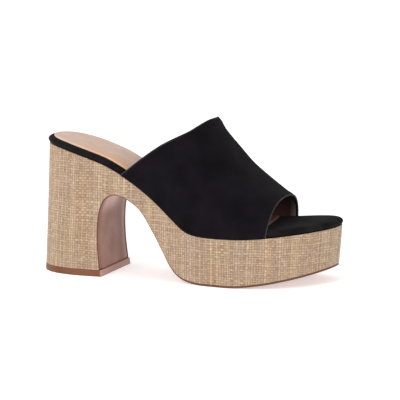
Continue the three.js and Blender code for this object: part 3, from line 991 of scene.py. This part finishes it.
def sole_piece():
    """Outsole sheet: its cross section, a flat sheet with rounded edges, carried along the
    ground line from the breast's foot to the toe tip. In the arch its sides lie under the
    cover and its outer face falls back towards them by BREAST_FALL."""
    line = sheet_line()
    normal = side_normals(line)
    proud = mix(-ARCH_INSET, SOLE_EDGE, at_tread(line[:, 0]))
    edges = []
    for side in OUTWARDS:
        turn = turn_at(side, line[:, 0], line[:, 1], proud)
        edges.append(wall_point(side, turn, line[:, 1], proud)[:, 1])
    middle, half = (edges[0] + edges[1]) / 2, (edges[1] - edges[0]) / 2
    half[-1] = 0
    share, inset, deep, outer_face, rounded = sheet_section()
    from_edge = half[:, None] * (1 - np.abs(share))
    fall = BREAST_FALL * (1 - smoothstep(from_edge, 0, FALL_WIDTH)) * outer_face
    deep = deep + fall * (1 - at_tread(line[:, :1] + BREAST_SHIFT[0]))
    y = middle[:, None] + share * np.maximum(half[:, None] - inset, 0)
    x, z = line[:, :1] + normal[:, :1] * deep, line[:, 1:] + normal[:, 1:] * deep
    body = closed_round(np.stack([x, y, z], axis=-1))
    foot_middle = np.broadcast_to(body[0, :-1].mean(axis=0), body[0].shape)
    # painted shade in the breast's crease and painted highlights on the outer face
    crease, painted_light = sheet_painted_light(line, share, from_edge) * outer_face
    bare = np.zeros((2, body.shape[1]))
    marks = {"edge": np.maximum(rounded, crease), "painted_light": painted_light}
    marks = {mark: [closed_round(values), bare] for mark, values in marks.items()}
    return build_closed("outsole_sheet", [body, np.stack([foot_middle, body[0]])], marks)


def footbed_outline(inset, reach_outer=LENGTH, reach_inner=LENGTH):
    """Outline drawn in by inset, outer side forward and inner side back, each up to its reach
    at the front, with plan normals."""
    ends = turn_of(np.array([reach_outer, reach_inner]) / LENGTH)
    points, normals = [], []
    for side, end, way in (("outer", ends[0], 1), ("inner", ends[1], -1)):
        turn = np.linspace(0, end, OUTLINE_TURNS)[::way]
        point = np.stack(outline(side, turn), axis=-1)
        normal = np.stack(outline_normal(side, turn), axis=-1)
        points.append(point - normal * inset)
        normals.append(normal)
    return np.vstack(points), np.vstack(normals)


def footbed_piece():
    """Suede-wrapped footbed: rays from the middle line to the rim on both faces, and the rim
    itself, round where it stands free and flatter where the upper covers it."""
    repeated = OUTLINE_TURNS, 2 * OUTLINE_TURNS - 1  # second toe tip and heel back
    edge, normal = (np.delete(line, repeated, axis=0) for line in footbed_outline(0))
    x = edge[:, 0]
    spine = spine_of(edge, *BED_SPINE)
    behind = 1 - smoothstep(x, COLLAR_BASE - RIM_RAMP, COLLAR_BASE)
    free = behind + smoothstep(x, OPENING_BASE + OPENING_BOW, OPENING_BASE + RIM_RAMP)
    bare_toe = smoothstep(x, OPENING_BASE - RIM_RAMP, OPENING_BASE + 2 * RIM_RAMP)
    inner_edge = edge - normal * RIM_ROUND
    levels = []
    for ray in np.linspace(0, 1, BED_LEVELS[0]):
        flat = mix(spine, inner_edge, ray)
        crown = TOE_SWELL * bare_toe * (1 - ray**4)
        levels.append(np.column_stack([flat, footbed_top(*flat.T) + crown]))
    for share in np.linspace(1, 0, BED_LEVELS[1])[1:-1]:
        roundness = np.sin(np.pi * share) ** RIM_FULLNESS
        offset = RIM_BULGE * free * roundness - RIM_ROUND * (1 - roundness)
        flat = edge + normal * offset[:, None]
        height = mix(footbed_base(flat[:, 0]), footbed_top(*flat.T), share)
        levels.append(np.column_stack([flat, height]))
    for ray in np.linspace(1, 0, BED_LEVELS[2]):
        flat = mix(spine, inner_edge, ray)
        levels.append(np.column_stack([flat, footbed_base(flat[:, 0])]))
    return ring_piece("suede_footbed", np.array(levels))


def sock_piece():
    """Padded sock: rays from the middle line to its edge, the upper face swelling in the middle
    and dropping in a quarter round at the edge, the lower face on the footbed."""
    line, _ = footbed_outline(SOCK_INSET, SOCK_FRONT_OUTER, SOCK_FRONT_INNER)
    edge = soften(line, SOCK_POINTS, SOCK_SOFTENED)
    spine = spine_of(edge, *SOCK_SPINE)
    way = unit(edge - spine)
    top = GAP + SOCK_THICKNESS
    # painted shade under the vamp, carried by the second mark
    under = smoothstep(edge[:, 0], *SOCK_UNDER_SHADE)
    # warm tint on the outer side, partly painted light against the upper's shade near the collar
    warm = smoothstep(-edge[:, 1], *SOCK_OUTER) * smoothstep(edge[:, 0], *SOCK_WARM) * (1 - under)
    levels, warmth, painted_light = [], [], []

    def add_level(flat, height, warm_share=1.0, painted_light_share=1.0):
        """Next ring, at a height over the footbed, with its shares of both marks."""
        levels.append(np.column_stack([flat, footbed_top(*flat.T) + height]))
        warmth.append(warm * warm_share)
        painted_light.append(under * painted_light_share)

    for ray in np.linspace(0, 1, SOCK_LEVELS[0])[:-1]:
        swell = SOCK_SWELL * (1 - ray**2) ** SOCK_FULLNESS
        flat = mix(spine, edge - way * SOCK_SHOULDER, ray)
        add_level(flat, top + swell, smoothstep(ray, *WARM_RAY), ray)
    for drawn in np.linspace(SOCK_SHOULDER, 0, SOCK_LEVELS[1]):
        in_round = np.clip(1 - drawn / SOCK_ROUND, 0, 1)
        add_level(edge - way * drawn, mix(SOCK_LIFT[0], top, np.sqrt(1 - in_round**2)))
    for ray in np.linspace(1, 0, SOCK_LEVELS[2]):
        add_level(mix(spine, edge, ray), SOCK_LIFT[1])
    return ring_piece(
        "sock_lining", np.array(levels), {"edge": np.array(warmth), "painted_light": np.array(painted_light)}
    )


def shell(name, outer_path, inner_path, turn, width, share):
    """Closed wall between two paths over the last that start and end on the same places. Its
    mark edge falls from share, a value for each turn, at collar and toe opening to 0 within a
    few widths."""
    outer, inner = upper_skin(outer_path, turn), upper_skin(inner_path, turn)
    grids = [outer, inner] + [np.stack([outer[:, end], inner[:, end]]) for end in (0, -1)]
    edge = []
    for path in (outer_path, inner_path):
        near = np.exp(-((path[:, 1] / width) ** 2)) * np.isin(path[:, 0], (0, 1))
        edge.append(near[:, None] * share)
    edge += [np.stack([edge[0][:, end], edge[1][:, end]]) for end in (0, -1)]
    return build_closed(name, grids, marks={"edge": edge})


def edge_path(start, middle_share, half_share, added, depth):
    """Path from collar to toe opening: a quarter round at either edge, the given added
    millimetres and depths next to it, and the middle between them in even steps."""
    quarter = np.linspace(0, np.pi / 2, 6)
    half_wall = abs(half_share) * UPPER_WALL
    near = start + half_wall * (1 - np.cos(quarter))
    round_depth = middle_share + half_share * np.sin(quarter)
    near = np.concatenate([near, added])
    deep = np.concatenate([round_depth, depth])
    share = np.linspace(0, 1, UPPER_STEPS)[1:-1]
    first, last = near[-1], deep[-1]
    middle = np.stack([share, first * (1 - 2 * share), np.full(len(share), last)], axis=-1)
    collar = np.stack([np.zeros(len(near)), near, deep], axis=-1)
    opening = np.stack([np.ones(len(near)), -near, deep], axis=-1)[::-1]
    return np.concatenate([collar, middle, opening])


def suede_piece():
    """Black suede of the upper: its outer face, folded round collar and toe opening to a lip
    inside, from where its inner face lies on the lining. The folds are a little fuller."""
    turn = np.linspace(0, np.pi, UPPER_TURNS)
    half = UPPER_WALL / 2
    distance = np.linspace(*FOLD_FULL, 12)
    full = 1 + FOLD_SWELL / UPPER_WALL * np.sin(np.pi * distance / distance[-1]) ** 2
    outer = edge_path(0, 0.5, 0.5, half + distance, full)
    lip = np.linspace(0.1, FOLD_LIP, 4)
    on_lining = FOLD_LIP + np.linspace(0.1, 5, 8)
    depth = np.append(0 * lip, 0 * on_lining + LINING_SHARE)
    inner = edge_path(0, 0.5, -0.5, half + np.append(lip, on_lining), depth)
    return shell("suede_upper", outer, inner, turn, FOLD_HIGHLIGHT_WIDTH, np.ones(UPPER_TURNS))


def lining_piece():
    """Leather lining inside the suede, with a rounded edge short of each fold."""
    turn = np.linspace(0, np.pi, UPPER_TURNS // 2)
    half = LINING_SHARE / 2
    start = UPPER_WALL / 2 + FOLD_LIP + HEM_GAP
    steps = start + half * UPPER_WALL + np.linspace(0.2, 4, 6)
    at_edge, at_face = LINING_CLEAR
    outer = edge_path(start, half, half * at_edge, steps, np.full(6, LINING_SHARE * at_face))
    inner = edge_path(start, half, -half, steps, np.zeros(6))
    # painted light on the lining low inside the toe opening
    lit_inside = smoothstep(turn, *LINING_LIT_TURNS)
    return shell("upper_lining", outer, inner, turn, LINING_LIT_WIDTH, lit_inside)


# Shader parts


def put(tree, kind, inputs=None, **settings):
    """New shader node. settings are its own properties. inputs fill its sockets, by name or
    number, with a value or with another node's output."""
    node = tree.nodes.new("ShaderNode" + kind)
    for key, value in settings.items():
        setattr(node, key, value)
    for key, value in (inputs or {}).items():
        if isinstance(value, bpy.types.NodeSocket):
            tree.links.new(value, node.inputs[key])
        else:
            node.inputs[key].default_value = value
    return node


def maths(tree, operation, *values):
    """Output of a Math node over its values."""
    return put(tree, "Math", dict(enumerate(values)), operation=operation).outputs[0]


def blend(tree, share, a, b):
    """Colour mix: a at share 0, b at share 1."""
    return put(tree, "Mix", {0: share, 6: a, 7: b}, data_type="RGBA").outputs[2]


def spread(tree, value, low, high, to_low=0.0, to_high=1.0):
    """Value spread from low..high to to_low..to_high and held at the ends."""
    sockets = {0: value, 1: low, 2: high, 3: to_low, 4: to_high}
    return put(tree, "MapRange", sockets).outputs[0]


def cloud(tree, place, scale, detail=3.0):
    """Noise from 0 to 1 over a place, scale in clouds per unit."""
    return put(tree, "TexNoise", {"Vector": place, "Scale": scale, "Detail": detail}).outputs[0]


def stretched(tree, place, x, y, z):
    """A place with each of its axes multiplied."""
    return put(tree, "VectorMath", {0: place, 1: (x, y, z)}, operation="MULTIPLY").outputs[0]


def in_millimetres(tree):
    """Object coordinates in millimetres."""
    place = put(tree, "TexCoord").outputs["Object"]
    return stretched(tree, place, 1000.0, 1000.0, 1000.0)


def node_group(name, inputs, outputs):
    """Empty node group with named sockets, and its inputs and outputs inside."""
    tree = bpy.data.node_groups.new(name, "ShaderNodeTree")
    for in_out, sockets in (("INPUT", inputs), ("OUTPUT", outputs)):
        for socket, kind in sockets.items():
            tree.interface.new_socket(socket, in_out=in_out, socket_type="NodeSocket" + kind)
    given, out = (tree.nodes.new("NodeGroup" + end) for end in ("Input", "Output"))
    return tree, given.outputs, out.inputs


def place_group(tree, group, inputs):
    """A group placed in a material with its own values, by socket name."""
    return put(tree, "Group", inputs, node_tree=group).outputs


def strands(tree, along, across, start, detail):
    """Noise drawn out along a yarn. along and across are each a place and its scale."""
    place = {0: maths(tree, "MULTIPLY", *along), 1: maths(tree, "MULTIPLY", *across), 2: start}
    return cloud(tree, put(tree, "CombineXYZ", place).outputs[0], 1.0, detail)


def yarn_family(tree, own, other, start, dyed):
    """One family of yarns, counted by own and running along other: its wave cos(pi own), its
    round back sqrt(1 - (1.8 off)^2), off being the way from the yarn's middle, frayed by the
    fibres, its tone of dye, slow streaks and fibres, and the fibres alone. dyed is how far
    the dye changes from yarn to yarn."""
    yarn = maths(tree, "ROUND", own)
    wave = maths(tree, "COSINE", maths(tree, "MULTIPLY", own, math.pi))
    streak = strands(tree, (other, 0.22), (yarn, 7.3), start, detail=3.0)
    fibre = strands(tree, (other, 0.6), (own, 7.0), start, detail=2.0)
    number = maths(tree, "ADD", yarn, start)
    dye = put(tree, "TexWhiteNoise", {"W": number}, noise_dimensions="1D").outputs[0]
    middle = 0.15 - dyed / 2
    tone = spread(tree, streak, 0.3, 0.7, middle, middle + 0.4)
    tone = maths(tree, "MULTIPLY_ADD", dye, dyed, tone)
    tone = maths(tree, "ADD", tone, spread(tree, fibre, 0.3, 0.7, -0.2, 0.5))
    off = maths(tree, "ABSOLUTE", maths(tree, "SUBTRACT", own, yarn))
    frayed = maths(tree, "MULTIPLY", maths(tree, "MULTIPLY_ADD", fibre, 0.2, off), 1.8)
    inside = maths(tree, "SUBTRACT", 1.0, maths(tree, "POWER", frayed, 2.0))
    back = maths(tree, "SQRT", maths(tree, "MAXIMUM", inside, 0.0))
    return wave, back, tone, fibre


def plain_weave_group():
    """Straw plain weave over a place counted in yarns, warp upright and weft level. A yarn's
    height is its back plus or minus the crimp cos(pi warp) cos(pi weft), and the higher one
    shows. Tone and Fibre are the upper yarn's, Gap is painted shade, 1 where both lie deep,
    and Bands is a slow change from warp to warp."""
    outputs = {"Tone": "Float", "Fibre": "Float", "Gap": "Float", "Bands": "Float"}
    tree, given, out = node_group("plain weave", {"Yarns": "Vector"}, outputs)
    warp, weft = put(tree, "SeparateXYZ", {0: given["Yarns"]}).outputs[:2]
    upright = yarn_family(tree, warp, weft, start=3.0, dyed=0.5)
    level = yarn_family(tree, weft, warp, start=47.0, dyed=0.2)
    crimp = maths(tree, "MULTIPLY", upright[0], level[0])
    warp_height = maths(tree, "MULTIPLY_ADD", crimp, CRIMP_SHOWN, upright[1])
    weft_height = maths(tree, "MULTIPLY_ADD", crimp, -CRIMP_SHOWN, level[1])
    higher = maths(tree, "SUBTRACT", warp_height, weft_height)
    warp_up = spread(tree, higher, low=-0.05, high=0.05)
    for name, above, below in zip(("Tone", "Fibre"), upright[2:], level[2:]):
        turned = maths(tree, "SUBTRACT", above, below)
        tree.links.new(maths(tree, "MULTIPLY_ADD", turned, warp_up, below), out[name])
    top = maths(tree, "MAXIMUM", warp_height, weft_height)
    tree.links.new(spread(tree, top, 0.35, 1.0, 1.0, 0.0), out["Gap"])
    slow = cloud(tree, stretched(tree, given["Yarns"], 0.3, 0.02, 0.0), scale=1.0, detail=2.0)
    tree.links.new(spread(tree, slow, 0.36, 0.64), out["Bands"])
    return tree


def nap_group():
    """Suede nap over a place in millimetres: Tone is the clouds that brushing leaves, and Nap
    is fine upright fibres for the bump."""
    inputs = {"Place": "Vector", "Brushing": "Float"}
    tree, given, out = node_group("suede nap", inputs, {"Tone": "Float", "Nap": "Float"})
    broad = cloud(tree, given["Place"], given["Brushing"], detail=4.0)
    tree.links.new(spread(tree, broad, 0.32, 0.68), out["Tone"])
    fine = cloud(tree, given["Place"], scale=6.0, detail=2.0)
    coarse = cloud(tree, given["Place"], scale=1.6)
    tree.links.new(maths(tree, "MULTIPLY_ADD", coarse, 0.7, fine), out["Nap"])
    return tree


def grain_group():
    """Smooth leather's grain over a place in millimetres: Grain is flat pebbles with soft
    creases between them for the bump, and Tone is slow clouds of the finish."""
    inputs = {"Place": "Vector", "Pebbles": "Float"}
    tree, given, out = node_group("leather grain", inputs, {"Tone": "Float", "Grain": "Float"})
    sockets = {"Vector": given["Place"], "Scale": given["Pebbles"]}
    pebbles = put(tree, "TexVoronoi", sockets, feature="SMOOTH_F1").outputs["Distance"]
    pores = cloud(tree, given["Place"], scale=3.2)
    height = maths(tree, "MULTIPLY_ADD", pores, 0.5, maths(tree, "MULTIPLY", pebbles, -1.0))
    tree.links.new(height, out["Grain"])
    tree.links.new(spread(tree, cloud(tree, given["Place"], scale=0.07), 0.3, 0.7), out["Tone"])
    return tree


def finish(name, shader):
    """Empty material, its tree, and its shader's sockets, the first few of which are filled."""
    material = bpy.data.materials.new(name)
    material.use_nodes = True
    surface = material.node_tree.nodes["Principled BSDF"].inputs
    sockets = "Roughness", "Specular IOR Level", "Sheen Weight", "Sheen Roughness"
    for key, value in zip(sockets, shader):
        surface[key].default_value = value
    return material, material.node_tree, surface


def colour_of(red, green, blue):
    """Linear colour of an sRGB colour given from 0 to 255."""
    shares = [channel / 255 for channel in (red, green, blue)]
    return [s / 12.92 if s <= 0.04045 else ((s + 0.055) / 1.055) ** 2.4 for s in shares] + [1.0]


def cover_surface(tree, surface, tone, height, distance, strength):
    """Gives a shader its colour and the bump of its relief, distance in millimetres for a
    height of 1."""
    sockets = {"Height": height, "Distance": distance * MILLIMETRE, "Strength": strength}
    tree.links.new(tone, surface["Base Color"])
    tree.links.new(put(tree, "Bump", sockets).outputs[0], surface["Normal"])


# Finishes


def woven_straw(weave):
    """Natural straw cloth: pale and tawny yarns in greyer and yellower bands, with painted shade
    between the yarns, dry and matt with a faint bloom."""
    material, tree, surface = finish("woven straw", STRAW_SHADER)
    yarns = put(tree, "UVMap", uv_map="Place").outputs[0]
    cloth = place_group(tree, weave, {"Yarns": yarns})
    pale = blend(tree, cloth["Bands"], colour_of(*STRAW_GREY), colour_of(*STRAW_PALE))
    tawny = blend(tree, cloth["Bands"], colour_of(*STRAW_DULL), colour_of(*STRAW_TAWNY))
    tone = blend(tree, cloth["Tone"], tawny, pale)
    # painted shade between the yarns
    shade = maths(tree, "MULTIPLY", cloth["Gap"], GAP_SHADE)
    tone = blend(tree, shade, tone, colour_of(*STRAW_SHADE))
    cover_surface(tree, surface, tone, cloth["Fibre"], distance=0.12, strength=0.8)
    return material


def straw_core(grain):
    """The cover's glued side on the solid core, seen only at its edges: dull straw brown."""
    material, tree, surface = finish("straw core", CORE_SHADER)
    fleck = place_group(tree, grain, {"Place": in_millimetres(tree), "Pebbles": 1.4})
    tone = blend(tree, fleck["Tone"], colour_of(*STRAW_SHADE), colour_of(*STRAW_TAWNY))
    cover_surface(tree, surface, tone, fleck["Grain"], distance=0.1, strength=0.6)
    return material


def marked(tree, tone, mark, tone_and_painted_light, strength=1.0):
    """A tone that turns to the given one where the piece's mark is 1, as far as strength; the
    given tones carry most of the painted light and shade.
    """
    place = put(tree, "Attribute", attribute_name=mark).outputs["Fac"]
    return blend(tree, maths(tree, "MULTIPLY", place, strength), tone, colour_of(*tone_and_painted_light))


def black_suede(name, nap, dark, light, tone_and_painted_light=0.0):
    """Matt black suede, its nap greyer where it is brushed, and greyer with a painted highlight
    along the piece's edge mark as far as the given strength."""
    material, tree, surface = finish(name, SUEDE_SHADER)
    cloth = place_group(tree, nap, {"Place": in_millimetres(tree), "Brushing": 0.06})
    tone = blend(tree, cloth["Tone"], colour_of(*dark), colour_of(*light))
    if tone_and_painted_light:
        tone = marked(tree, tone, "edge", SUEDE_PAINTED_HIGHLIGHT, tone_and_painted_light)
    cover_surface(tree, surface, tone, cloth["Nap"], distance=0.3, strength=0.8)
    return material


def leather(name, grain, tones, shader, tone_and_painted_light=None, pebbles=1.1, relief=0.1):
    """Smooth leather with fine pebbled grain, its tone between a pale and a deep one, turning
    to a third along the piece's edge mark and to a fourth on its second mark, which is a
    painted highlight on the sole sheet and painted shade on the sock."""
    material, tree, surface = finish(name, shader)
    skin = place_group(tree, grain, {"Place": in_millimetres(tree), "Pebbles": pebbles})
    pale, deep, edge_tone = tones
    tone = blend(tree, skin["Tone"], colour_of(*deep), colour_of(*pale))
    tone = marked(tree, tone, "edge", edge_tone)
    if tone_and_painted_light:
        tone = marked(tree, tone, "painted_light", tone_and_painted_light)
    cover_surface(tree, surface, tone, skin["Grain"], relief, strength=0.5)
    roughness = shader[0]
    dulled = spread(tree, skin["Tone"], 0.0, 1.0, roughness + 0.06, roughness - 0.05)
    tree.links.new(dulled, surface["Roughness"])
    return material


def dress(piece, material, replaced=None):
    """Gives a piece its material and tells the frame what it is."""
    piece.data.materials.append(material)
    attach(piece, "root")
    if replaced:
        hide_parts(replaced)


def cover_core(material):
    """Gives the solid under the woven cover its material and leaves its shape."""
    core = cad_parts["platform_and_heel"]
    for slot in core.material_slots:
        slot.link = "OBJECT"
        slot.material = material


# Light, floor and camera


def soft_light(name, place, size, power):
    """Square area light turned towards the shoe."""
    lamp = bpy.data.lights.new(name, "AREA")
    lamp.size, lamp.energy = size, power
    light = bpy.data.objects.new(name, lamp)
    light.location = place
    light.rotation_euler = (LIGHT_TARGET - light.location).to_track_quat("-Z", "Y").to_euler()
    bpy.context.scene.collection.objects.link(light)


def pale_floor():
    """Plain pale studio floor under the shoe."""
    mesh = bpy.data.meshes.new("studio_floor")
    ways = (-1, -1), (1, -1), (1, 1), (-1, 1)
    corners = [(x * FLOOR_HALF, y * FLOOR_HALF, 0.0) for x, y in ways]
    mesh.from_pydata(corners, [], [(0, 1, 2, 3)])
    floor = bpy.data.objects.new("studio_floor", mesh)
    bpy.context.scene.collection.objects.link(floor)
    material, tree, surface = finish("studio floor", FLOOR_SHADER)
    surface["Emission Color"].default_value = colour_of(*WHITE)
    surface["Emission Strength"].default_value = FLOOR_GLOW
    mottle = cloud(tree, put(tree, "TexCoord").outputs["Object"], scale=0.8)
    tone = blend(tree, mottle, *(colour_of(*tone) for tone in FLOOR_TONES))
    tree.links.new(tone, surface["Base Color"])
    mesh.materials.append(material)


def photo_camera():
    """Camera at the photograph's angle: it stands back from a target on the shoe along its
    azimuth and elevation and is rolled about its view."""
    azimuth, elevation, roll = map(math.radians, (CAMERA_AZIMUTH, CAMERA_ELEVATION, CAMERA_ROLL))
    flat = math.cos(elevation)
    back = Vector((math.sin(azimuth) * flat, -math.cos(azimuth) * flat, math.sin(elevation)))
    level = Vector((math.cos(azimuth), math.sin(azimuth), 0))
    upright = back.cross(level)
    right = level * math.cos(roll) + upright * math.sin(roll)
    up = upright * math.cos(roll) - level * math.sin(roll)
    lens = bpy.data.cameras.new("photo_camera")
    lens.lens, lens.sensor_width, lens.clip_end = CAMERA_LENS, CAMERA_SENSOR, CAMERA_REACH
    camera = bpy.data.objects.new("photo_camera", lens)
    turned = Matrix((right, up, back)).transposed().to_4x4()
    camera.matrix_world = Matrix.Translation(CAMERA_TARGET + back * CAMERA_DISTANCE) @ turned
    bpy.context.scene.collection.objects.link(camera)
    bpy.context.scene.camera = camera


def studio_world():
    """Even white surroundings, shown without a film curve."""
    world = bpy.data.worlds.new("studio")
    world.use_nodes = True
    background = world.node_tree.nodes["Background"].inputs
    background["Color"].default_value = colour_of(*WHITE)
    background["Strength"].default_value = WORLD_STRENGTH
    bpy.context.scene.world = world
    bpy.context.scene.view_settings.view_transform = "Standard"


# The shoe and its studio

weave, nap, grain = plain_weave_group(), nap_group(), grain_group()
straw = woven_straw(weave)
suede = black_suede("black suede", nap, SUEDE_DARK, SUEDE_BRUSHED, tone_and_painted_light=0.8)
bed_suede = black_suede("black suede bed", nap, BED_DARK, BED_BRUSHED)
sheet = leather("sole sheet", grain, SOLE_TONES, SOLE_SHADER, SOLE_PAINTED_HIGHLIGHT, 0.8, relief=0.05)
rubber = leather("lift rubber", grain, LIFT_TONES, LIFT_SHADER, pebbles=2.0, relief=0.05)
nude = leather("nude leather", grain, SOCK_TONES, SOCK_SHADER, SOCK_PAINTED_SHADE)
brown = leather("lining leather", grain, LINING_TONES, SOCK_SHADER)

cover_core(straw_core(grain))
for cover in cover_pieces():
    dress(cover, straw)
dress(sole_piece(), sheet, "outsole")
dress(lift_piece(), rubber, "heel_lift")
dress(footbed_piece(), bed_suede, "footbed")
dress(sock_piece(), nude, "insole_sock")
dress(suede_piece(), suede, "upper")
dress(lining_piece(), brown)

studio_world()
for name, settings in LIGHTS.items():
    soft_light(name, *settings)
pale_floor()
photo_camera()
